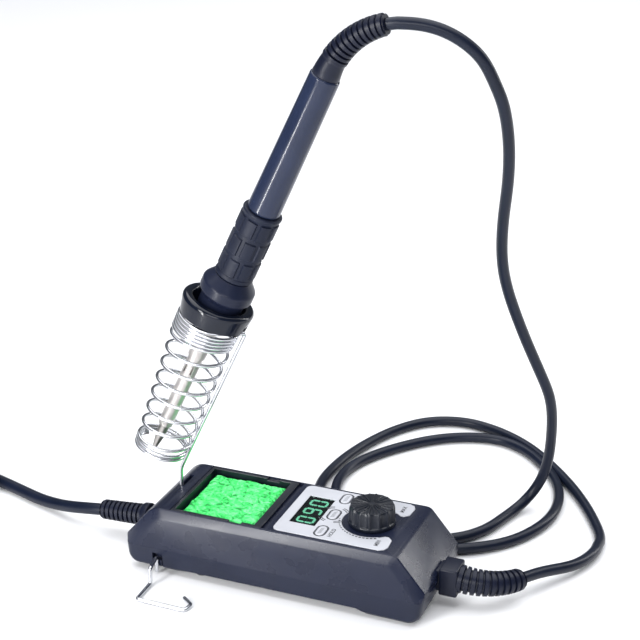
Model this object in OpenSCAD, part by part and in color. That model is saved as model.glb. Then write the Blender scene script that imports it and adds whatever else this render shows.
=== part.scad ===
// Temperature-controlled soldering iron, parked in a spring holder on its small mains base.
// X runs along the base towards the control panel, Y away from the user, and Z up from the table.

/* [Base] */
// Length of the casing
case_len = 174; // [170:1:180]
// Width of the casing at the parting line
case_w = 65.3; // [64:0.1:67]
// Height of the flat top above the table
case_h = 38.5; // [38:0.1:40]
// Height of the parting line
part_z = 14.8; // [14:0.1:16]
// Wall thickness of the casing
wall = 2.2; // [1.8:0.1:2.4]
// Steepness of the slanted ends
end_slope = 50; // [48:1:52]

/* [Sponge tray] */
// Left end of the sponge well
well_x0 = -58.4; // [-59:0.1:-57]
// Right end of the sponge well
well_x1 = -11; // [-12:0.1:-10]
// Width of the sponge well
well_w = 51; // [48:0.5:52]
// Thickness of the cellulose sponge
sponge_t = 11; // [8:0.5:11.5]

/* [Control panel] */
// Distance of the knob's axis from the middle of the base
knob_x = 47; // [46:0.5:48]
// Diameter of the knob at its skirt
knob_d = 25.7; // [23:0.1:27]
// Height of the knob
knob_h = 11.5; // [10:0.5:14]
// Travel of each push button
button_travel = 0.5; // [0.3:0.1:0.6]

/* [Iron] */
// Lean of the parked iron from the vertical
iron_lean = 25; // [23:1:27]
// Outside diameter of the stainless heater pipe
pipe_d = 8.4; // [8:0.1:9]
// Length of the handle barrel behind the grip
barrel_len = 80.5; // [76:0.5:84]
// Diameter over the rubber grip
grip_d = 21.5; // [20:0.5:23]
// Diameter of the flange that rests on the holder
flange_d = 29.5; // [28:0.5:31]

/* [Holder] */
// Wire diameter of the spring holder
wire_d = 2; // [1.8:0.1:2.2]
// Diameter of the collar at the top of the holder
collar_d = 39.8; // [39:0.1:40.4]
// Pitch of the open coils
coil_pitch = 9.5; // [9.3:0.1:9.7]

/* [Cords] */
// Diameter of the iron's cord
iron_cord_d = 6.2; // [6:0.1:6.6]
// Diameter of the mains cord
mains_cord_d = 7; // [6.6:0.1:7.2]

/* [Hidden] */
$fn = 48;

// Where the middle of the base stands, so that the origin is below the middle of the whole object
base_place = [-6, 16, 0];
// Where the iron's axis meets the top of the holder's collar, from the middle of the base
seat_place = [-39, 0, 154.7];
// The holder stands a little steeper than the iron that leans in it, and its foot comes forward
holder_place = [-42.8, 1, 154.7];
holder_lean = 20;
holder_tilt = 4.5;

half_len = case_len / 2;
half_w = case_w / 2;
pad_z = 2.4;
recess_z = 4.4;
top_in_z = case_h - 2.6;
feet_at = [[-44, -23], [-44, 23], [66, -22], [66, 22]];
post_at = [[-76, -20], [-76, 20], [79, -20], [79, 20]];
board_post_at = [[1, -24], [1, 24], [64, -24], [64, 24]];
board_top = 29;
board_t = 1.6;
board_low = board_top - board_t;
plate_top = case_h + 0.3;
plate_t = 0.8;
button_at = [[25.1, 18.9], [25.1, 0], [25.1, -18.9]];
window_x = [5, 19.9];
window_half = 15.5;
stem_x = -67;
gland_z = 14.8;
foot_pin = [-67, -33.4];
foot_d = 2.2;
foot_hook_z = 10.4;
spring_top = -12.6;
closed_top = -23.4;
closed_low = -91.6;
spring_low = -97;
top_turns = 5.16;
spring_r_top = 17.3;
spring_r_low = 14.1;
collar_shift = 2;
stem_bend_z = 49.6;
stem_foot_z = 29.4;
tip_end = -107;
barrel_z0 = 58.6;
barrel_z1 = barrel_z0 + barrel_len;
boot_r = 45.5;
boot_turn = 50.6;
coil_r = 5.5 * mains_cord_d;
coil_at = [-251, 10];
coil_rise = 31;
plug_at = [-287, -40, 18];

// The iron's cord, from the handle's boot over the free arc and twice round the floor to the base
iron_cord_route = [
    [52.4, 16.6, 309.5], [58, 18, 309.4], [65, 20, 308.4], [73, 23, 305.4], [80, 26, 301],
    [86, 29, 295.6], [90, 33, 288.6], [93, 37, 279.6], [96, 42, 269.6], [97, 47, 259.6],
    [97, 55, 242], [95, 63, 222.6], [91, 72, 199], [89, 79, 180.6], [89, 84, 167],
    [91, 90, 151.6], [98, 102, 122.6], [105, 112, 99], [110, 119, 81.6], [111, 124, 68],
    [110, 130, 50], [108, 134, 32], [103, 134, 15], [96, 128, 5], [90, 112, 3.1],
    [84, 93, 3.1], [74, 79, 3.1], [58, 69, 3.1], [38, 65, 3.1], [18, 69, 3.1], [1, 80, 3.1],
    [-12, 98, 3.1], [-18, 120, 3.1], [-16, 140, 3.1], [-8, 158, 3.1], [6, 178, 3.1],
    [22, 194, 3.1], [40, 204, 3.1], [60, 207, 3.1], [78, 199, 3.1], [94, 183, 3.1],
    [107, 164, 3.1], [114, 143, 3.1], [115, 122, 3.1], [110, 102, 3.1], [100, 84, 3.1],
    [84, 70, 3.1], [64, 60, 3.1], [42, 56, 3.1], [18, 58, 3.1], [-4, 68, 3.1], [-18, 86, 3.1],
    [-26, 108, 3.1], [-26, 136, 3.1], [-20, 166, 3.1], [-8, 196, 3.1], [8, 216, 3.1],
    [30, 224, 3.1], [54, 219, 3.1], [78, 205, 3.1], [100, 183, 3.1], [122, 155, 3.1],
    [139, 126, 3.1], [148, 104, 3.3], [147, 84, 4.2], [142, 69, 5.6], [136, 59, 7.4], [128, 48, 9.6],
    [119.4, 32.6, 11.7]
];
// The visible mains cord, from the left boot to where its coil begins
mains_cord_route = [
    [-124, 16, 12.4], [-134, 16, 11.2], [-146, 18, 8.6], [-158, 22, 5.6], [-172, 26, 3.9],
    [-190, 32, 3.5], [-209, 38, 3.5], [-226, 43, 3.5], [-239.7, 46.8, 3.5]
];
// The short lead from the top of the coil to the plug
plug_lead_route = [
    [-289.5, 10, 34.4], [-289.5, 1, 33.2], [-289, -8, 29.8], [-288.4, -18, 24.8],
    [-287.8, -27, 20.6], [-287.2, -34, 18.6], [-287, -41, 18]
];

// Points along an arc about (cx, cy)
function arc(cx, cy, r, a0, a1, n = 6) =
    [for (i = [0:n]) let (a = a0 + (a1 - a0) * i / n) [cx + r * cos(a), cy + r * sin(a)]];

// Unit vector along v
function unit(v) = v / norm(v);

// Direction of a route at point i
function heading(p, i) =
    unit(i == 0 ? p[1] - p[0] : i == len(p) - 1 ? p[i] - p[i - 1] : p[i + 1] - p[i - 1]);

// Sideways vector at each point of a route, carried along without twisting
function sides(p, i = 0, last = [0, 0, 1]) =
    i == len(p) ? [] :
    let (h = heading(p, i), s = unit(last - (last * h) * h))
    concat([s], sides(p, i + 1, s));

// A round tube of diameter d along a route
module tube(route, d, n = 8) {
    side = sides(route, 0, abs(heading(route, 0)[2]) > 0.9 ? [1, 0, 0] : [0, 0, 1]);
    points = [
        for (i = [0:len(route) - 1]) let (h = heading(route, i), u = side[i], v = cross(h, u))
        for (k = [0:n - 1]) let (a = 360 * k / n)
        route[i] + (d / 2) * (cos(a) * u + sin(a) * v)
    ];
    walls = [
        for (i = [0:len(route) - 2]) for (k = [0:n - 1]) let (q = (k + 1) % n)
        for (f = [[i * n + k, i * n + q, (i + 1) * n + q], [i * n + k, (i + 1) * n + q, (i + 1) * n + k]])
        [f[2], f[1], f[0]]
    ];
    first = [for (k = [0:n - 1]) k];
    end = [for (k = [n - 1:-1:0]) (len(route) - 1) * n + k];
    polyhedron(points, concat(walls, [first], [end]), convexity = 10);
}

// The points of a bent wire, with each inner corner eased over a length r to both sides
function eased(p, r) = concat(
    [p[0]],
    [for (i = [1:len(p) - 2]) let (a = unit(p[i - 1] - p[i]), b = unit(p[i + 1] - p[i]))
        for (q = [p[i] + r * a, p[i] + 0.19 * r * (a + b), p[i] + r * b]) q],
    [p[len(p) - 1]]
);

// A box from one corner to the opposite one
module block(low, high) {
    translate(low) cube(high - low);
}

// A slot with round ends, its length along Y
module oval(length, width, h) {
    run = length - width;
    for (side = [-1, 1]) translate([0, side * run / 2, 0]) cylinder(h = h, d = width);
    translate([-width / 2, -run / 2, 0]) cube([width, run, h]);
}

module at_base() {
    translate(base_place) children();
}

// The frame of the iron: Z runs up its axis from the top of the holder's collar
module at_iron() {
    at_base() translate(seat_place) rotate([0, iron_lean, 0]) children();
}

// ---- casing ----

// Side view of the upper casing, drawn in by trim from its top and slanted ends
function upper_outline(trim, pull) =
    let (
        top = case_h - trim,
        lean = tan(90 - end_slope),
        gap = trim / sin(end_slope),
        foot_z = 19.4,
        r_left = 12,
        r_right = 5,
        half = end_slope / 2,
        x_right = half_len - gap - (top - foot_z) * lean,
        x_left = -x_right
    )
    concat(
        [[-half_len + pull, part_z], [half_len - pull, part_z]],
        [[half_len - pull, max(part_z + 0.1, foot_z - (gap - pull) / lean)]],
        arc(x_right - r_right * tan(half), top - r_right, r_right, 90 - end_slope, 90, 4),
        arc(x_left + r_left * tan(half), top - r_left, r_left, 90, 90 + end_slope, 7),
        [[-half_len + pull, max(part_z + 0.1, foot_z - (gap - pull) / lean)]]
    );

// A plate of side-view outline, reaching half_y to both sides
module side_plate(outline, half_y) {
    rotate([90, 0, 0]) linear_extrude(2 * half_y, center = true) polygon(outline);
}

// The upper casing's outer form, or its cavity when inset is the wall thickness
module upper_form(inset) {
    hull() {
        side_plate(upper_outline(inset, inset), half_w - 4.4 - inset);
        side_plate(upper_outline(inset + 0.35, inset), half_w - 3.7 - inset);
        side_plate(upper_outline(inset + 4.8, inset + 0.9), half_w - 1.8 - inset);
        side_plate(upper_outline(inset + 5.6, inset + 1.3), half_w - 1.5 - inset);
        block([-half_len + 4.5 + inset, -half_w + inset, part_z],
              [half_len - 4.5 - inset, half_w - inset, part_z + 0.4]);
    }
}

// Side view of the lower casing, drawn in by trim from below and the ends
function lower_outline(trim) = concat(
    arc(-half_len + 7.7, 9.4, 7 - trim, 180, 270, 8),
    arc(half_len - 9, 8.6, 8 - trim, 270, 360, 9),
    [[half_len - trim - 0.1, part_z - 0.5], [half_len - trim - 0.1, part_z], [-half_len + trim + 0.1, part_z]]
);

// The lower casing's outer form, or its cavity when inset is the wall thickness
module lower_form(inset) {
    hull() {
        side_plate(lower_outline(inset), half_w - 3.7 - inset);
        side_plate(lower_outline(inset + 0.8), half_w - 1.8 - inset);
        side_plate(lower_outline(inset + 1.3), half_w - 1.2 - inset);
        side_plate(lower_outline(inset + 2.4), half_w - 0.5 - inset);
        block([-half_len + 4.5 + inset, -half_w + inset, part_z - 1],
              [half_len - 4.5 - inset, half_w - inset, part_z]);
    }
}

// The raised middle of the underside between the two end pads
module underside_recess(grow) {
    rotate([90, 0, 0]) linear_extrude(2 * half_w + 10, center = true)
    polygon([
        [-61 - grow, -1], [-61 - grow, pad_z + grow], [-48 - grow, recess_z + grow],
        [50 + grow, recess_z + grow], [55.5 + grow, pad_z + grow], [55.5 + grow, -1]
    ]);
}

module lower_shell() {
    color("#1c2130") at_base() difference() {
        union() {
            difference() {
                lower_form(0);
                underside_recess(0);
                difference() {
                    translate([0, 0, 0.01]) lower_form(wall);
                    underside_recess(wall);
                    block([-half_len, -half_w, 0], [half_len, half_w, pad_z + wall]);
                }
            }
            for (p = post_at) translate([p[0], p[1], pad_z + 0.6])
                cylinder(h = part_z - pad_z - 0.9, d = 7.6);
            block([foot_pin[0] - 4, -half_w + 1.2, 4.6], [foot_pin[0] + 4, -half_w + 7, part_z - 1]);
        }
        for (p = post_at) translate([p[0], p[1], -1]) {
            cylinder(h = 20, d = 3.4);
            cylinder(h = pad_z + 3.4, d = 6.2);
        }
        for (p = feet_at) translate([p[0], p[1], 0])
            cylinder(h = (p[0] < 0 ? recess_z : pad_z) + 0.6, d = 8.2);
        gland_slots();
        wire_foot_notch();
    }
}

// The notch in the front wall, with a snap bearing for the wire foot left standing in it
module wire_foot_notch() {
    difference() {
        block([foot_pin[0] - 3, foot_pin[1] - 2, 0], [foot_pin[0] + 3, foot_pin[1] + 4.6, 12.2]);
        block([foot_pin[0] - 2.4, foot_pin[1] - 0.7, 4.2], [foot_pin[0] + 2.4, -half_w + 5, 8.2]);
    }
    translate([foot_pin[0], foot_pin[1], 0]) {
        cylinder(h = 12.2, d = foot_d + 0.1);
        translate([-0.95, -2, 0]) cube([1.9, 2, 12]);
    }
}

// Slots in both end walls that grip the moulded cord boots
module gland_slots() {
    block([-half_len - 4, -5.1, gland_z - 5.1], [-half_len + wall + 4, 5.1, gland_z + 5.1]);
    block([half_len - wall - 4, -6.1, gland_z - 6.1], [half_len + 4, 6.1, gland_z + 6.1]);
}

module upper_shell() {
    color("#1a1f2e") at_base() difference() {
        union() {
            difference() {
                upper_form(0);
                translate([0, 0, -0.01]) upper_form(wall);
            }
            intersection() {
                upper_form(0.8);
                for (p = post_at) translate([p[0], p[1], part_z + 0.1]) cylinder(h = 20, d = 7);
            }
            for (p = board_post_at) translate([p[0], p[1], board_top])
                cylinder(h = top_in_z - board_top + 0.6, d = 5.6);
            block([stem_x - 3.4, -3.6, 26], [stem_x + 3.4, 16, top_in_z + 0.8]);
            ledge();
        }
        for (p = post_at) translate([p[0], p[1], part_z]) cylinder(h = 7, d = 2.6);
        for (p = board_post_at) translate([p[0], p[1], board_top - 1]) cylinder(h = 7, d = 2.1);
        translate([stem_x, 0, 28]) cylinder(h = 14, d = wire_d + 0.1);
        block([stem_x - 1.2, 0, 28], [stem_x + 1.2, 13.6, 42]);
        block([well_x0 - 2.3, -well_w / 2 - 2.3, case_h - 1.7],
              [well_x1 + 4.9, well_w / 2 + 2.3, case_h + 2]);
        block([well_x0 - 1.5, -well_w / 2 - 1.5, 20], [well_x1 + 1.5, well_w / 2 + 1.5, case_h + 2]);
        block([well_x1 + 4.8, -well_w / 2 - 2, case_h - 1.9], [well_x1 + 7.4, well_w / 2 + 2, case_h + 2]);
        translate([0, 0, plate_top - plate_t - 0.05]) linear_extrude(2) plate_outline(0.15);
        block([window_x[0] + 0.6, -window_half + 0.6, 30], [window_x[1] - 0.6, window_half - 0.6, 40]);
        for (b = button_at) translate([b[0], b[1], 30]) oval(10.4, 5.4, 10);
        translate([knob_x, 0, 30]) cylinder(h = 10, d = 7.6);
        gland_slots();
        finger_notches();
    }
}

// Step inside the top wall that carries the tray's flange
module ledge() {
    difference() {
        block([well_x0 - 3.4, -well_w / 2 - 2.8, case_h - 2.9],
              [well_x1 + 9, well_w / 2 + 2.8, case_h - 1.7]);
        block([well_x0 - 1.5, -well_w / 2 - 1.5, 20], [well_x1 + 1.5, well_w / 2 + 1.5, 50]);
    }
}

// Scallops in both long rims, for lifting the tray out
module finger_notches() {
    for (side = [-1, 1]) translate([-22, side * (well_w / 2 + 1.2), case_h - 1.2])
        block([-3.6, -1.7, 0], [3.6, 1.7, 4]);
}

module case_screws() {
    color("#9aa0a8") at_base() for (p = post_at) translate([p[0], p[1], 0]) {
        difference() {
            translate([0, 0, pad_z + 0.2]) cylinder(h = 2.2, d = 5.6);
            for (turn = [0, 90]) rotate([0, 0, turn]) translate([-1.6, -0.35, pad_z]) cube([3.2, 0.7, 1.2]);
        }
        translate([0, 0, pad_z + 2.3]) cylinder(h = 16.2, d = 2.8);
    }
}

module rubber_feet() {
    color("#22252c") at_base() for (p = feet_at)
        translate([p[0], p[1], 0]) rotate_extrude() polygon(concat(
            [[0, 0]], arc(3.4, 0.6, 0.6, 270, 360, 4), [[4, (p[0] < 0 ? recess_z : pad_z) + 0.5],
            [0, (p[0] < 0 ? recess_z : pad_z) + 0.5]]
        ));
}

// ---- sponge and tray ----

module sponge_tray() {
    floor_z = case_h - 13.3;
    color("#14171f") at_base() difference() {
        union() {
            block([well_x0 - 2, -well_w / 2 - 2, case_h - 1.4], [well_x1 + 4.4, well_w / 2 + 2, case_h]);
            block([well_x0 - 1.2, -well_w / 2 - 1.2, floor_z],
                  [well_x1 + 1.2, well_w / 2 + 1.2, case_h - 1]);
        }
        block([well_x0, -well_w / 2, floor_z + 1.2], [well_x1, well_w / 2, case_h + 1]);
        finger_notches();
    }
}

module sponge() {
    margin = 0.8;
    low = case_h - 13.3 + 1.5;
    color("#35e070") at_base()
        block([well_x0 + margin, -well_w / 2 + margin, low],
              [well_x1 - margin, well_w / 2 - margin, low + sponge_t - 0.4]);
}

// ---- control panel ----

// Faceplate outline: a rounded rectangle, cut away round the knob and open towards the end
module plate_outline(grow) {
    left = -0.6 - grow;
    edge = 26.6 + grow;
    r = 3.5;
    difference() {
        polygon(concat(
            arc(left + r, edge - r, r, 180, 90, 6),
            [[60, edge], [62.8 + grow, edge - 1.6], [64 + grow, edge - 4.4], [63.4 + grow, 14.5], [61, 12]],
            [[61, -12], [63.4 + grow, -14.5], [64 + grow, -edge + 4.4]],
            [[62.8 + grow, -edge + 1.6], [60, -edge]],
            arc(left + r, -edge + r, r, 270, 180, 6)
        ));
        translate([knob_x, 0]) circle(r = 16.4 - grow);
        polygon([[knob_x, 0], [knob_x + 9, -14.4 + grow], [knob_x + 12, -12 + grow], [knob_x + 24, -12 + grow],
                 [knob_x + 24, 12 - grow], [knob_x + 12, 12 - grow], [knob_x + 9, 14.4 - grow]]);
    }
}

module faceplate() {
    color("#c9cbd1") at_base() difference() {
        translate([0, 0, plate_top - plate_t]) linear_extrude(plate_t) plate_outline(0);
        block([window_x[0], -window_half, 30], [window_x[1], window_half, 45]);
        for (b = button_at) translate([b[0], b[1], 30]) oval(10.4, 5.4, 14);
    }
}

module display_window() {
    color("#10241c") at_base()
        block([window_x[0] + 0.1, -window_half + 0.1, plate_top - plate_t + 0.05],
              [window_x[1] - 0.1, window_half - 0.1, plate_top - 0.1]);
}

module display_module() {
    color("#0d0f12") at_base()
        block([window_x[0] + 0.8, -window_half + 0.8, board_top],
              [window_x[1] - 0.8, window_half - 0.8, plate_top - plate_t - 0.5]);
}

// One bar of a seven-segment digit
module bar(x, y, along_x) {
    size = along_x ? [3.4, 1, 0.3] : [1, 3.8, 0.3];
    translate([x - size[0] / 2, y - size[1] / 2, 0]) cube(size);
}

// A digit read from the panel's end: its top points towards the tray
module digit(middle, low_left, low) {
    half = 4.6;
    for (end = [-1, 1]) bar(end * half, 0, false);
    for (side = [-1, 1]) bar(-half / 2, side * 2.5, true);
    bar(half / 2, 2.5, true);
    if (low_left) bar(half / 2, -2.5, true);
    if (middle) bar(0, 0, false);
}

module display_digits() {
    color("#9dffc8") at_base()
        translate([(window_x[0] + window_x[1]) / 2, 0, plate_top - plate_t - 0.45]) {
            translate([0, -9.6, 0]) digit(false, true);
            digit(true, false);
            translate([0, 9.6, 0]) digit(false, true);
        }
}

module control_board() {
    color("#1d6b45") at_base() difference() {
        block([-2, -27, board_low], [68, 27, board_top]);
        for (p = board_post_at) translate([p[0], p[1], board_low - 1]) cylinder(h = 4, d = 2.6);
    }
}

module board_screws() {
    color("#b0b4ba") at_base() for (p = board_post_at) translate([p[0], p[1], board_low]) {
        translate([0, 0, -1.6]) cylinder(h = 1.6, d = 4.6);
        cylinder(h = 6.4, d = 2.2);
    }
}

module potentiometer() {
    color("#8d949c") at_base() translate([knob_x, 0, 0]) difference() {
        union() {
            translate([0, 0, board_top]) cylinder(h = 5.6, d = 16.6);
            translate([0, 0, board_top + 5.5]) cylinder(h = 6.2, d = 7);
            for (y = [-5, 0, 5]) block([5, y - 0.5, board_low - 1.4], [10.4, y + 0.5, board_top + 0.8]);
        }
        translate([0, 0, board_top + 1]) cylinder(h = 14, d = 6.1);
    }
}

module knob_shaft() {
    color("#b9bdc4") at_base() translate([knob_x, 0, 0]) difference() {
        translate([0, 0, board_top + 1.1]) cylinder(h = plate_top + knob_h - 4.4 - board_top, d = 6);
        block([1.5, -4, plate_top + 2.6], [5, 4, plate_top + knob_h + 2]);
    }
}

module control_knob() {
    flutes = 14;
    ribs = 20;
    low = case_h + 0.5;
    top = case_h + 0.3 + knob_h;
    color("#14161c") at_base() translate([knob_x, 0, 0]) difference() {
        union() {
            difference() {
                rotate_extrude($fn = 72) polygon([
                    [0, low], [knob_d / 2 - 0.3, low], [knob_d / 2, low + 0.4], [knob_d / 2, low + 1],
                    [knob_d / 2 - 0.6, top - 1.3], [knob_d / 2 - 1.3, top - 0.6], [0, top - 0.6]
                ]);
                for (i = [0:flutes - 1]) rotate([0, 0, 360 * i / flutes])
                    translate([knob_d / 2 + 1.7, 0, low + 1.8]) cylinder(h = knob_h, d = 5);
            }
            for (i = [0:ribs - 1]) rotate([0, 0, 360 * i / ribs])
                block([2.2, -0.45, top - 0.8], [knob_d / 2 - 1.5, 0.45, top]);
            translate([0, 0, top - 0.8]) cylinder(h = 0.6, d = 5.4);
        }
        difference() {
            translate([0, 0, low - 1]) cylinder(h = knob_h - 2, d = 6.05);
            block([1.55, -4, low + 2.6], [5, 4, top]);
        }
        translate([0, 0, low - 1]) cylinder(h = 3.2, d = 7.8);
        difference() {
            translate([0, 0, low - 1]) cylinder(h = knob_h - 4, d = knob_d - 3.6);
            translate([0, 0, low - 2]) cylinder(h = knob_h, d = 10);
        }
    }
}

// A push button: an oval cap standing in its hole, with a flange and a plunger below
module push_button(place) {
    color("#b9bbc2") at_base() translate([place[0], place[1], 0]) {
        translate([0, 0, 35]) oval(9.7, 4.7, plate_top + 0.2 - 35);
        translate([0, 0, 34.4]) oval(11.6, 6.6, 1);
        translate([0, 0, 33.4]) cylinder(h = 1.2, d = 3.2);
    }
}

module button_up() {
    push_button(button_at[0]);
}

module button_down() {
    push_button(button_at[1]);
}

module button_hold() {
    push_button(button_at[2]);
}

module tact_switches() {
    color("#25272b") at_base() for (b = button_at) translate([b[0], b[1], board_top]) {
        block([-3, -3, 0], [3, 3, 3.4]);
        cylinder(h = 4.2 - button_travel, d = 3.4);
        for (x = [-1, 1]) for (y = [-1, 1])
            block([x * 2.6 - 0.3, y * 2.2 - 0.3, -board_t - 1.2], [x * 2.6 + 0.3, y * 2.2 + 0.3, 0.1]);
    }
}

// ---- electronics below the board ----

module power_triac() {
    color("#202226") at_base() {
        block([33, -21.4, 14], [43, -17, 24]);
        for (x = [35.5, 38, 40.5]) block([x - 0.4, -19.6, 23.5], [x + 0.4, -18.8, board_low + 0.4]);
    }
}

module heat_sink() {
    color("#a9adb3") at_base() {
        block([29, -17, 10], [47, -15, board_low - 0.3]);
        for (i = [0:4]) block([29 + 4 * i, -15.1, 10], [31 + 4 * i, -8, board_low - 0.3]);
    }
}

module mains_fuse() {
    color("#d9dcdd") at_base() translate([1, -18, 20]) rotate([0, 90, 0]) {
        cylinder(h = 20, d = 4.6);
        for (z = [0, 15]) translate([0, 0, z]) cylinder(h = 5, d = 5.2);
        for (z = [1.5, 16.5]) translate([-board_low + 20, -1.6, z]) cube([board_low - 20 - 2, 3.2, 2]);
    }
}

module filter_capacitor() {
    color("#c8a02c") at_base() block([2, 8, 13], [20, 16, board_low]);
}

module supply_capacitor() {
    color("#20304a") at_base() translate([34, 14, 11]) cylinder(h = board_low - 11, d = 10);
}

module terminal_blocks() {
    color("#2c7a4b") at_base() {
        terminal_block([5, -6, 16], 3);
        terminal_block([59, -8, 16], 5);
    }
}

// A row of screw terminals hanging below the board
module terminal_block(place, ways) {
    pitch = 3.8;
    translate(place) difference() {
        block([0, 0, 0], [7, ways * pitch, board_low - place[2]]);
        for (i = [0:ways - 1]) translate([3.5, pitch * (i + 0.5), -1]) cylinder(h = 4, d = 2.4);
    }
}

module inner_mains_wires() {
    color("#7a4a2a") at_base() for (i = [0:2]) let (y = 2.4 * (i - 1), far = -6 + 3.8 * (i + 0.5))
        tube(eased([
            [-79.3, y, gland_z - 2], [-62, y, 10], [-20, y, 10], [-6, far, 19], [5.4, far, 19]
        ], 3), 1.8, 6);
}

module inner_iron_wires() {
    color("#b02a2a") at_base() for (i = [0:4]) let (y = 1.7 * (i - 2), far = -8 + 3.8 * (i + 0.5))
        tube(eased([[78.6, y, gland_z], [75, y, gland_z], [70, far, 19], [65.8, far, 19]], 2), 1.4, 6);
}

// ---- cord boots ----

// A ribbed boot along its own Z: ribs get smaller towards the far end
module straight_boot(length, ribs, d_start, d_end, core) {
    pitch = length / ribs;
    cylinder(h = length, d1 = d_start - 3, d2 = core);
    for (i = [0:ribs - 1]) let (d = d_start + (d_end - d_start) * i / (ribs - 1))
        translate([0, 0, pitch * i]) cylinder(h = pitch * 0.62, d = d);
}

// A ribbed boot bent to a circle of radius r, turning from Z towards X
module bent_boot(r, turn, ribs, d_start, d_end, core) {
    for (i = [0:ribs - 1]) let (
        a = turn * i / ribs,
        step = turn / ribs,
        d = d_start + (d_end - d_start) * i / (ribs - 1),
        neck = (d_start - 3) + (core - d_start + 3) * i / ribs
    )
        translate([r * (1 - cos(a)), 0, r * sin(a)]) rotate([0, a + step / 2, 0]) {
            cylinder(h = r * step * PI / 180 * 1.04, d = neck);
            cylinder(h = r * step * PI / 180 * 0.62, d = d);
        }
}

module mains_boot() {
    wall_x = -half_len;
    color("#1b1f2b") at_base() {
        block([wall_x + 5.1, -6.6, gland_z - 6.6], [wall_x + 7.5, 6.6, gland_z + 6.6]);
        block([wall_x - 1.4, -5, gland_z - 5], [wall_x + 5.3, 5, gland_z + 5]);
        translate([wall_x - 0.7, 0, gland_z]) rotate([0, -93.8, 0]) {
            cylinder(h = 4, d = 14.4);
            translate([0, 0, 3.8]) straight_boot(27, 9, 12.6, 11.4, 9.2);
        }
    }
}

module iron_cord_boot() {
    color("#1b1f2b") at_base() {
        block([half_len - 8.2, -7, gland_z - 7], [half_len - 5.8, 7, gland_z + 7]);
        block([half_len - 6, -6, gland_z - 6], [half_len + 0.8, 6, gland_z + 6]);
        block([half_len + 0.5, -7.6, gland_z - 7.9], [half_len + 10.7, 7.6, gland_z + 8.3]);
        translate([half_len + 10.4, 0, gland_z + 0.4]) rotate([0, 7, 0]) rotate([90, 0, 90])
            bent_boot(32.2, 62, 11, 15.4, 12, 10);
    }
}

// ---- wire foot ----

module wire_foot() {
    z = foot_d / 2;
    color("#c9ccd2") at_base() {
        translate([foot_pin[0], foot_pin[1], 1.4]) cylinder(h = foot_hook_z - 1.4, d = foot_d);
        translate([foot_pin[0], foot_pin[1], 1.2]) cylinder(h = 1.6, d = foot_d + 0.7);
        tube(eased([
            [foot_pin[0] - 0.2, foot_pin[1] + 0.3, foot_hook_z], [-64.6, -45.8, foot_hook_z],
            [-64.6, -45.8, z], [-64.2, -62.8, z], [-35.4, -63.2, z], [-34.4, -57, z], [-41, -52.2, z]
        ], 1.6), foot_d, 10);
    }
}

// ---- holder ----

// The frame of the holder: Z runs up the middle of its coil
module at_holder() {
    at_base() translate(holder_place) rotate([0, holder_lean, 0]) rotate([-holder_tilt, 0, 0]) children();
}

// A point given from the middle of the base, in the frame of the holder
function to_holder(p) =
    let (
        q = p - holder_place,
        up = q[0] * sin(holder_lean) + q[2] * cos(holder_lean)
    )
    [
        q[0] * cos(holder_lean) - q[2] * sin(holder_lean),
        q[1] * cos(holder_tilt) - up * sin(holder_tilt),
        q[1] * sin(holder_tilt) + up * cos(holder_tilt)
    ];

// Turns down to the end of the open coils
open_end = top_turns + (closed_top - closed_low) / coil_pitch;

// Height at which the coil has made t turns: close turns, open turns, then close turns again
function coil_z(t) =
    t < top_turns ? spring_top + (closed_top - spring_top) * t / top_turns :
    t < open_end ? closed_top - (t - top_turns) * coil_pitch :
    closed_low - (t - open_end) * 1.2 * wire_d;

module holder_wire() {
    turns = open_end + (closed_low - spring_low) / (1.2 * wire_d);
    steps = round(turns * 14);
    coil = [
        for (i = [0:steps]) let (
            t = turns * i / steps,
            z = coil_z(t),
            k = (spring_top - z) / (spring_top - spring_low),
            r = spring_r_top + (spring_r_low - spring_r_top) * k
        )
        [max(0, 1 - k / 0.14) + r * cos(360 * t), -r * sin(360 * t), z]
    ];
    stem = [
        to_holder([stem_x, 12.4, stem_foot_z]), to_holder([stem_x, 0, stem_foot_z]),
        to_holder([stem_x, 0, stem_bend_z]), to_holder([-25.6, 0, 137.9]), [17.2, -5.6, spring_top - 0.1]
    ];
    color("#c9ccd2") at_holder() tube(concat(eased(stem, 2.4), [for (i = [2:steps]) coil[i]]), wire_d, 6);
}

module holder_collar() {
    color("#0f1218") at_holder() difference() {
        translate([collar_shift, 0, 0]) rotate_extrude($fn = 72) polygon(concat(
            [[10, -10.4], [13.4, -10.4], [13.4, -12.4], [collar_d / 2 - 3.4, -12.4]],
            arc(collar_d / 2 - 3, -10.6, 1.8, 290, 340, 3),
            arc(collar_d / 2 - 2.4, -2.4, 2.4, -10, 90, 6),
            arc(16.2, -1.6, 1.6, 90, 170, 4),
            [[14.6, -5.4], [14, -8.9], [10, -8.9]]
        ));
        translate(to_holder([-25.6, 0, 137.9]) - [1.2, 0, 6]) cylinder(h = 9, d = wire_d + 3);
        translate([1, 0, 0]) difference() {
            translate([0, 0, -14]) cylinder(h = 2.8, r = spring_r_top + 4);
            translate([0, 0, -15]) cylinder(h = 5, r = spring_r_top - 1.3);
        }
    }
}

// ---- iron ----

module handle_barrel() {
    color("#262b3a") at_iron() difference() {
        union() {
            translate([0, 0, barrel_z0]) cylinder(h = barrel_len, d1 = 17.9, d2 = 15.9);
            translate([0, 0, 12]) cylinder(h = barrel_z0 - 12 + 0.5, d = 16.4);
        }
        translate([0, 0, 6]) cylinder(h = barrel_z0, d = 12);
        translate([0, 0, barrel_z0 + 5]) cylinder(h = barrel_len, d = 12.4);
        translate([0, 0, 60]) cylinder(h = 5, d1 = 12, d2 = 12.4);
    }
}

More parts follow.
